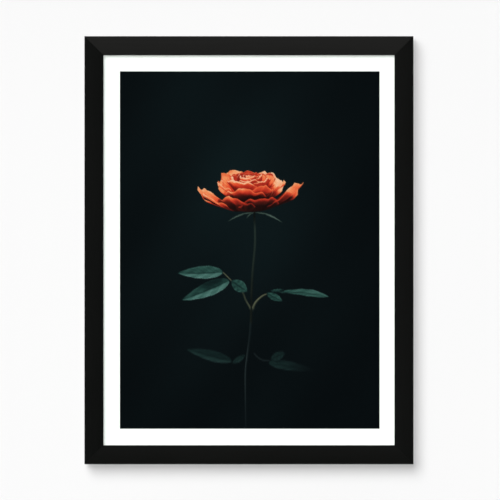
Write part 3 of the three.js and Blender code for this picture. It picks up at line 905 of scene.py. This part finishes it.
def print_grid():
    """The sheet's columns and rows, round the picture's middle: close over the plant, wide elsewhere."""
    wide, high = PICTURE_HALF
    left, right = PRINT_LOW[0] - PICTURE_OFF[0], PRINT_HIGH[0] - PICTURE_OFF[0]
    foot, head = PRINT_LOW[2] - PICTURE_OFF[1], PRINT_HIGH[2] - PICTURE_OFF[1]
    columns = stations((left, -wide, 7), (-wide, -82, 3.6), (-82, -56, 0.75), (-56, 58, 0.48),
                       (58, 82, 0.75), (82, wide, 3.6), (wide, right, 7))
    rows = stations((head, high, 7), (high, 82, 5), (82, 26, 0.47), (26, -10, 2.4), (-10, -58, 0.7),
                    (-58, -92, 2.4), (-92, -130, 1.3), (-130, -high, 5), (-high, foot, 7))
    return columns, rows


def art_print():
    """The sheet: a grid of faces, each point with its printed colour, closed by edges and a back."""
    columns, rows = print_grid()
    colours = painted(columns, rows, np.random.default_rng(ROSE_SEED))
    across, up = len(columns), len(rows)
    x, z = np.meshgrid(columns + PICTURE_OFF[0], rows + PICTURE_OFF[1])
    front = np.stack([x, np.full_like(x, PRINT_LOW[1]), z], -1).reshape(-1, 3)
    index = np.arange(across * up).reshape(up, across)
    quads = np.stack([index[:-1, :-1], index[1:, :-1], index[1:, 1:], index[:-1, 1:]], -1).reshape(-1, 4)
    rim = np.concatenate([index[0, :-1], index[:-1, -1], index[-1, :0:-1], index[:0:-1, 0]])
    back = front[rim] + [0, PRINT_HIGH[1] - PRINT_LOW[1], 0]
    behind = np.arange(len(rim)) + across * up
    after, behind_after = np.roll(rim, -1), np.roll(behind, -1)
    sides = np.stack([rim, after, behind_after, behind], -1)
    faces = quads.tolist() + sides.tolist() + [behind[::-1].tolist()]
    piece = made("print", np.vstack([front, back]), faces)
    ink = np.ones((across * up + len(rim), 4))
    ink[:across * up, :3] = linear(colours.reshape(-1, 3))
    piece.data.attributes.new("ink", "FLOAT_COLOR", "POINT").data.foreach_set("color", ink.ravel())
    piece.data.materials.append(PAPER)
    piece.data.materials.append(INK)
    middle_x = (columns[:-1] + columns[1:]) / 2
    middle_z = (rows[:-1] + rows[1:]) / 2
    inside = (np.abs(middle_x)[None] < PICTURE_HALF[0]) & (np.abs(middle_z)[:, None] < PICTURE_HALF[1])
    kinds = np.zeros(len(faces), int)
    kinds[:len(quads)] = inside.ravel()
    piece.data.polygons.foreach_set("material_index", kinds)
    return dressed(piece, PAPER, "frame", "print_paper", "print")


def corrugated_filler():
    """Single-wall corrugated card: two flat liners and a wavy flute between them that runs up the board."""
    (x0, y0, z0), (x1, y1, z1) = box_mm("filler_board")
    liner, pitch, wave_steps = 0.35, 7.2, 12
    waves = round((x1 - x0) / pitch)
    edge = np.linspace(x0, x1, waves * wave_steps + 1)
    swing = (y1 - y0) / 2 - liner * 1.5
    middle = (y0 + y1) / 2 + swing * np.cos(2 * math.pi * waves * (edge - x0) / (x1 - x0))
    points, faces = [], []

    def strip(under, over):
        first = len(points)
        outline = list(zip(edge, under)) + list(zip(edge[::-1], over[::-1]))
        count = len(outline)
        for z in (z0, z1):
            points.extend((a, b, z) for a, b in outline)
        faces.extend((first + i, first + (i + 1) % count, first + count + (i + 1) % count, first + count + i)
                     for i in range(count))
        half = count // 2
        for base in (first, first + count):
            faces.extend((base + i, base + i + 1, base + count - 2 - i, base + count - 1 - i)
                         for i in range(half - 1))

    flat = np.ones(len(edge))
    strip(flat * y0, flat * (y0 + liner))
    strip(middle - liner / 2, middle + liner / 2)
    strip(flat * (y1 - liner), flat * y1)
    piece = facing_out(made("filler_board", points, faces))
    return dressed(smoothed(piece), KRAFT, "frame", "filler_card", "filler_board")


# --- the back's fittings ---


def button_plan(steps=14):
    """A turn button's outline, its screw at the origin and its arm pointing down: (x, z)."""
    wide, tip = BUTTON_WIDTH / 2, BUTTON_TIP / 2
    turns = [math.pi * i / steps for i in range(steps + 1)]
    head = [(wide * math.cos(t), wide * math.sin(t)) for t in turns]
    foot = [(-tip * math.cos(t), tip - BUTTON_REACH - tip * math.sin(t)) for t in turns]
    return head + foot


def add_rib(plate):
    """Raises a rounded rib on a turn button's plate, from below its screw to near its tip."""
    form = bmesh.new()
    form.from_mesh(plate.data)
    half, top, low = RIB_WIDTH / 2, -SCREW_HEAD - RIB_FROM_HEAD, RIB_FROM_TIP - BUTTON_REACH
    turns = [math.pi * i / 10 for i in range(11)]
    loop = [(half * math.cos(t), top + half * math.sin(t)) for t in turns]
    loop += [(-half * math.cos(t), low - half * math.sin(t)) for t in turns]
    face = GAP + BUTTON_METAL - RIB_HEIGHT
    middle = (top + low) / 2
    rings = []
    for scale, y in ((1.0, face - 0.05), (0.86, face + 0.55 * RIB_HEIGHT), (0.66, face + 0.9 * RIB_HEIGHT),
                     (0.4, face + RIB_HEIGHT)):
        shorter = 1 - (1 - scale) * half / (middle - low + half)
        ring = [(a * scale, y, middle + (b - middle) * shorter) for a, b in loop]
        rings.append([form.verts.new(p) for p in placed(ring)])
    for near, far in zip(rings, rings[1:]):
        for i in range(len(near)):
            form.faces.new((near[i], near[(i + 1) % len(near)], far[(i + 1) % len(near)], far[i]))
    form.faces.new(rings[-1])
    form.faces.new(rings[0][::-1])
    bmesh.ops.recalc_face_normals(form, faces=form.faces)
    form.to_mesh(plate.data)
    form.free()


def turn_button(where, x, z, turn):
    """A stamped plate: edges rolled by the die, a hole for its screw and a raised rib down its arm."""
    name = f"turn_button_{where}"
    plate = prism(name, button_plan(), GAP, GAP + BUTTON_METAL - RIB_HEIGHT)
    cut_from(plate, [drilled(SCREW_THREAD + GAP, -1.0, 3.0, 0.0, 0.0)])
    eased(plate, 0.16, 3)
    applied(plate)
    add_rib(plate)
    set_in_place(plate, x, z, turn)
    return dressed(smoothed(plate), ZINC, f"button_{where}", "zinc_steel", name)


def thread(around, steps):
    """A wood screw's shank, in rings of points from its tip to its seat, with a bare neck at the top."""
    points = []
    for j in range(steps + 1):
        y = SCREW_TIP + (SCREW_SEAT - SCREW_TIP) * j / steps
        point = min(1.0, (y - SCREW_TIP) / 2.5)
        smooth_neck = 1 - min(1.0, max(0.0, (y - SCREW_SEAT + 3.2) / 0.8))
        for k in range(around):
            a = 2 * math.pi * k / around
            phase = ((y / SCREW_PITCH) - a / (2 * math.pi)) % 1.0
            crest = max(0.0, 1 - abs(phase - 0.5) / 0.28) ** 0.8
            r = point * (SCREW_SHANK + (SCREW_THREAD - SCREW_SHANK) * crest * smooth_neck)
            points.append((r * math.cos(a), y, r * math.sin(a)))
    return points


def cross_recess():
    """The two tapered wedges that cut the cross in a screw's head."""
    arms = []
    for quarter_turn in (0.0, math.pi / 2):
        c, s = math.cos(quarter_turn), math.sin(quarter_turn)
        wedge = []
        for y, long, wide in ((SCREW_CROWN - 1.15, 0.75, 0.22), (SCREW_CROWN + 0.3, 1.85, 0.5)):
            plan = ((-long, -wide), (long, -wide), (long, wide), (-long, wide))
            wedge += [(a * c - b * s, y, a * s + b * c) for a, b in plan]
        arms.append(made("arm", wedge, ends_and_sides(4)))
    return arms


def screw(where, x, z, turn):
    """A pan-head screw: a cut thread to a point, and a cross recess in the head."""
    name = f"screw_{where}"
    around, steps = 28, 96
    head = [(SCREW_HEAD - 0.12, SCREW_SEAT), (SCREW_HEAD, SCREW_SEAT + 0.12)]
    head += quarter(SCREW_HEAD, SCREW_HEAD * 0.5, SCREW_SEAT + 0.8, SCREW_CROWN) + [(0.0, SCREW_CROWN)]
    points, faces = thread(around, steps), []
    turns = [2 * math.pi * k / around for k in range(around)]
    for r, y in head:
        points += [(r * math.cos(t), y, r * math.sin(t)) for t in turns]
    for j in range(steps + len(head)):
        for k in range(around):
            near, far = j * around, (j + 1) * around
            faces.append((near + k, near + (k + 1) % around, far + (k + 1) % around, far + k))
    piece = facing_out(made(name, points, faces))
    cut_from(piece, cross_recess())
    set_in_place(piece, x, z, turn)
    return dressed(smoothed(piece), ZINC, "frame", "zinc_steel", name)


def buttons_and_screws():
    """Two to a rail. Each arm points in over the back board, and each screw's recess has its own angle."""
    mid_x, mid_z = HALF_OUTER["x"] - BACK_WIDTH / 2, HALF_OUTER["z"] - BACK_WIDTH / 2
    along, up = HALF_OUTER["x"] - SCREW_FROM_CORNER, HALF_OUTER["z"] - SCREW_FROM_CORNER
    quarter_turn = math.pi / 2
    for k, (where, x, z, turns) in enumerate((
        ("top_left", -along, mid_z, 0), ("top_right", along, mid_z, 0),
        ("right_upper", mid_x, up, 1), ("right_lower", mid_x, -up, 1),
        ("bottom_right", along, -mid_z, 2), ("bottom_left", -along, -mid_z, 2),
        ("left_lower", -mid_x, -up, -1), ("left_upper", -mid_x, up, -1),
    )):
        turn_button(where, x, z, turns * quarter_turn)
        screw(where, x, z, 0.35 + 1.1 * k)


def hanger_line():
    """The strip's middle line, bent up off the rail between its tabs with soft bends: (x, y)."""
    end = HANGER_LENGTH / 2
    foot, bridge = end - HANGER_TAB, end - HANGER_TAB - HANGER_RAMP
    x = np.unique(np.concatenate([np.linspace(-end, end, 91), np.linspace(bridge - 1, foot + 1, 17),
                                  -np.linspace(bridge - 1, foot + 1, 17)]))
    rise = smooth(foot + 0.5, bridge - 0.5, np.abs(x))
    return x, GAP + HANGER_METAL / 2 + HANGER_LIFT * rise


def toothed_strip(middle_z):
    """The points of the hanger's two faces, with teeth along the lower edge, and how many lie in a row."""
    x, y = hanger_line()
    bridge = HANGER_LENGTH / 2 - HANGER_TAB - HANGER_RAMP
    low, high = middle_z - HANGER_HEIGHT / 2, middle_z + HANGER_HEIGHT / 2
    teeth = int(bridge / TOOTH_PITCH - 0.5)
    notches = [(i * TOOTH_PITCH + d) for i in range(-teeth, teeth + 1)
               for d in (-(TOOTH_PITCH - TOOTH_FLAT) / 2, 0.0, (TOOTH_PITCH - TOOTH_FLAT) / 2)]
    line = np.unique(np.round(np.concatenate([x, notches]), 5))
    depth = np.interp(line, x, y)
    reach = (TOOTH_PITCH - TOOTH_FLAT) / 2
    from_notch = np.abs((line + TOOTH_PITCH / 2) % TOOTH_PITCH - TOOTH_PITCH / 2)
    cut_up = np.where(np.abs(line) < teeth * TOOTH_PITCH + reach + 1e-6,
                      TOOTH_DEPTH * np.clip(1 - from_notch / reach, 0, 1), 0.0)
    slope = np.gradient(depth, line)
    normal = np.stack([-slope, np.ones_like(slope)], -1) / np.sqrt(1 + slope ** 2)[:, None]
    points = []
    for side in (-1, 1):
        for share in HANGER_LEVELS:
            z = (low + cut_up) * (1 - share) + high * share
            off = side * HANGER_METAL / 2
            points += list(zip(line + normal[:, 0] * off, depth + normal[:, 1] * off, z))
    return points, len(line)


def sawtooth_hanger():
    """A strip of brassed steel, its lower edge cut in teeth that a nail's head catches in, and its brads."""
    middle_z = HALF_OUTER["z"] - BACK_WIDTH / 2
    points, count = toothed_strip(middle_z)
    rows = len(HANGER_LEVELS)
    index = np.arange(2 * rows * count).reshape(2, rows, count)
    faces = []
    for j in range(rows - 1):
        for i in range(count - 1):
            a, b = index[0], index[1]
            faces.append((a[j, i], a[j, i + 1], a[j + 1, i + 1], a[j + 1, i]))
            faces.append((b[j + 1, i], b[j + 1, i + 1], b[j, i + 1], b[j, i]))
        for i in (0, count - 1):
            faces.append((index[0, j, i], index[0, j + 1, i], index[1, j + 1, i], index[1, j, i]))
    for i in range(count - 1):
        for j in (0, rows - 1):
            faces.append((index[0, j, i], index[0, j, i + 1], index[1, j, i + 1], index[1, j, i]))
    piece = facing_out(made("sawtooth_hanger", points, faces))
    brad_x = (HANGER_LENGTH - HANGER_TAB) / 2
    cut_from(piece, [drilled(BRAD_SHANK + GAP, -1.0, 3.0, side * brad_x, middle_z) for side in (-1, 1)])
    eased(piece, 0.1)
    applied(piece)
    dressed(smoothed(piece), BRASS, "frame", "brassed_steel", "sawtooth_hanger")
    hanger_brads(brad_x, middle_z)


def hanger_brads(brad_x, middle_z):
    """A round-headed brad through each of the hanger's tabs."""
    for where, side in (("left", -1), ("right", 1)):
        profile = [(0.0, BRAD_TIP), (BRAD_SHANK, BRAD_TIP + 2 * BRAD_SHANK), (BRAD_SHANK, BRAD_SEAT),
                   (BRAD_HEAD - 0.1, BRAD_SEAT), (BRAD_HEAD, BRAD_SEAT + 0.1)]
        profile += quarter(BRAD_HEAD, 0.3, BRAD_SEAT + 0.3, BRAD_CROWN) + [(0.0, BRAD_CROWN)]
        name = f"hanger_brad_{where}"
        brad = facing_out(made(name, *turned(profile, side * brad_x, middle_z, 32)))
        dressed(smoothed(brad), BRASS, "frame", "brassed_steel", name)


def bumpers():
    """Rubber feet: a moulded dome with a shallow dimple in its crown."""
    for where, side in (("left", -1), ("right", 1)):
        edge = BUMPER_RADIUS - BUMPER_ROUNDING
        profile = [(0.0, GAP), (BUMPER_RADIUS - 0.15, GAP), (BUMPER_RADIUS, GAP + 0.15)]
        profile += quarter(BUMPER_RADIUS, edge, BUMPER_TOP - BUMPER_ROUNDING, BUMPER_TOP, 8)
        profile += [(r, BUMPER_TOP - sunk) for r, sunk in BUMPER_DIMPLE]
        name = f"bumper_{where}"
        x, z = side * (HALF_OUTER["x"] - BUMPER_FROM_CORNER), BACK_WIDTH / 2 - HALF_OUTER["z"]
        bumper = facing_out(made(name, *turned(profile, x, z, 48)))
        dressed(smoothed(bumper), RUBBER, "frame", "bumper_rubber", name)


def carried_over():
    """The frame's own nodes that are shown as they are, with their finishes."""
    for name, material, slot, rounding in (("glazing", ACRYLIC, "glazing", 0.15),
                                           ("barrier_board", WHITE_BOARD, "white_board", 0.1),
                                           ("back_board", FIBREBOARD, "back_fibreboard", 0.35)):
        eased(dressed(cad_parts[name], material, "frame", slot), rounding)
    for corner in ("top_left", "top_right", "bottom_left", "bottom_right"):
        for which in ("outer", "inner"):
            eased(dressed(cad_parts[f"v_nail_{corner}_{which}"], ZINC, "frame", "zinc_steel"), 0.08)


rails()
art_print()
corrugated_filler()
buttons_and_screws()
sawtooth_hanger()
bumpers()
carried_over()

# --- the room, the lights and the camera ---


def plane(name, corners, material):
    """A flat part of the room, which isn't part of the model."""
    mesh = bpy.data.meshes.new(name)
    mesh.from_pydata(corners, [], [(0, 1, 2, 3)])
    found = bpy.data.objects.new(name, mesh)
    found.data.materials.append(material)
    bpy.context.scene.collection.objects.link(found)
    return found


def painted_wall():
    """Plaster, rolled with matt white paint, seen from its painted side only: from behind it is clear."""
    material, shader = material_named("Matt_emulsion_on_plaster", Roughness=0.95)
    place = node(material, "TexCoord").outputs["Object"]
    roller = node(material, "TexNoise", {"Scale": per_metre(3), "Detail": 3.0}, Vector=place)
    broad = node(material, "TexNoise", {"Scale": per_metre(400), "Detail": 1.0}, Vector=place)
    colour = node(material, "ValToRGB", {"stops": ((0.3, WALL_LOW), (0.7, WALL_HIGH))}, i0=broad)
    join(material, colour, shader.inputs["Base Color"])
    shader.inputs["Specular IOR Level"].default_value = 0.1
    bump = node(material, "Bump", {"Strength": 0.06, "Distance": 0.1 * MM}, Height=roller)
    join(material, bump, shader.inputs["Normal"])
    side = node(material, "NewGeometry").outputs["Backfacing"]
    clear = node(material, "BsdfTransparent")
    both = node(material, "MixShader", i0=side, i1=shader, i2=clear)
    join(material, both, material.node_tree.nodes["Material Output"].inputs["Surface"])
    return material


def pale_floor():
    """Pale sealed screed, dull."""
    material, shader = material_named("Pale_sealed_screed", Roughness=0.8)
    place = node(material, "TexCoord").outputs["Object"]
    clouds = node(material, "TexNoise", {"Scale": per_metre(300), "Detail": 3.0}, Vector=place)
    colour = node(material, "ValToRGB", {"stops": ((0.3, "#e9e8e6"), (0.7, "#f0efed"))}, i0=clouds)
    join(material, colour, shader.inputs["Base Color"])
    return material


def sun(name, toward, strength, degrees, glossy=True):
    """A soft sun that shines from the direction toward and looks as wide as the given degrees."""
    data = bpy.data.lights.new(name, "SUN")
    data.energy, data.angle = strength, math.radians(degrees)
    lamp = bpy.data.objects.new(name, data)
    lamp.rotation_mode = "QUATERNION"
    lamp.rotation_quaternion = Vector(toward).to_track_quat("Z", "Y")
    lamp.visible_glossy = glossy
    bpy.context.scene.collection.objects.link(lamp)


WALL_LOW, WALL_HIGH = "#e2e2e2", "#e4e4e4"
WALL_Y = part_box("bumper_left")[1].y + 0.1 * MM
ROOM, FLOOR_DROP = 9.0, 1.5
# The light that reaches the wall face on from the key and the fill together, and the key's share of it.
WHITE_LIGHT, KEY_SHARE = 1.24 * math.pi, 0.56
KEY_SPREAD, FILL_SPREAD, BACK_SPREAD, BACK_STRENGTH = 42, 12, 30, 3.0
KEY_TOWARD = (-math.tan(math.radians(20)), -1.0, math.tan(math.radians(27)))
FILL_TOWARD = (0.0, -1.0, 0.0)
BACK_TOWARD = (0.35, 1.0, 0.45)

floor_z = MIDDLE.z - FLOOR_DROP
ceiling_z = floor_z + ROOM
# The light behind the frame passes through the wall, and the floor neither lights the frame nor is mirrored.
wall = plane("wall", [(-ROOM, WALL_Y, floor_z), (ROOM, WALL_Y, floor_z), (ROOM, WALL_Y, ceiling_z),
                      (-ROOM, WALL_Y, ceiling_z)], painted_wall())
wall.visible_shadow = False
floor = plane("floor", [(-ROOM, -ROOM, floor_z), (ROOM, -ROOM, floor_z), (ROOM, ROOM, floor_z),
                        (-ROOM, ROOM, floor_z)], pale_floor())
floor.visible_diffuse = floor.visible_glossy = False
key_tilt = Vector(KEY_TOWARD).normalized().y * -1
sun("key", KEY_TOWARD, WHITE_LIGHT * KEY_SHARE / key_tilt, KEY_SPREAD)
sun("fill", FILL_TOWARD, WHITE_LIGHT * (1 - KEY_SHARE), FILL_SPREAD, glossy=False)
sun("back", BACK_TOWARD, BACK_STRENGTH, BACK_SPREAD)

# The camera sees a pale room all round. Gloss and shade meet one that is dark in front and pale behind.
ROOM_SHADE = linear("#f4f4f3")
DARK_FRONT, PALE_BEHIND = 0.015, 0.55
world = bpy.data.worlds.new("studio")
bpy.context.scene.world = world
world.use_nodes = True
direction = node(world, "SeparateXYZ", Vector=node(world, "TexCoord").outputs["Generated"])
behind = node(world, "MapRange", {"From Max": 0.35, "To Min": DARK_FRONT, "To Max": PALE_BEHIND},
              Value=direction.outputs["Y"])
around = node(world, "Background", {"Color": ROOM_SHADE}, Strength=behind)
seen = node(world, "Background", {"Color": ROOM_SHADE})
rays = node(world, "LightPath")
either = node(world, "MixShader", i0=rays.outputs["Is Camera Ray"], i1=around, i2=seen)
join(world, either, world.node_tree.nodes["World Output"].inputs["Surface"])

CAMERA_LENS, CAMERA_AWAY, CAMERA_ASIDE, CAMERA_ABOVE = 200.0, 2.803, 1.07, 0.20
camera_data = bpy.data.cameras.new("camera")
camera_data.lens, camera_data.sensor_width = CAMERA_LENS, 36.0
camera_data.clip_start, camera_data.clip_end = 0.05, 50.0
camera = bpy.data.objects.new("camera", camera_data)
camera.location = (CAMERA_ASIDE * MM, MIDDLE.y - RAIL_DEPTH * MM - CAMERA_AWAY, MIDDLE.z + CAMERA_ABOVE * MM)
camera.rotation_euler = (math.pi / 2, 0.0, 0.0)
bpy.context.scene.collection.objects.link(camera)
bpy.context.scene.camera = camera
bpy.context.scene.view_settings.view_transform = "Standard"
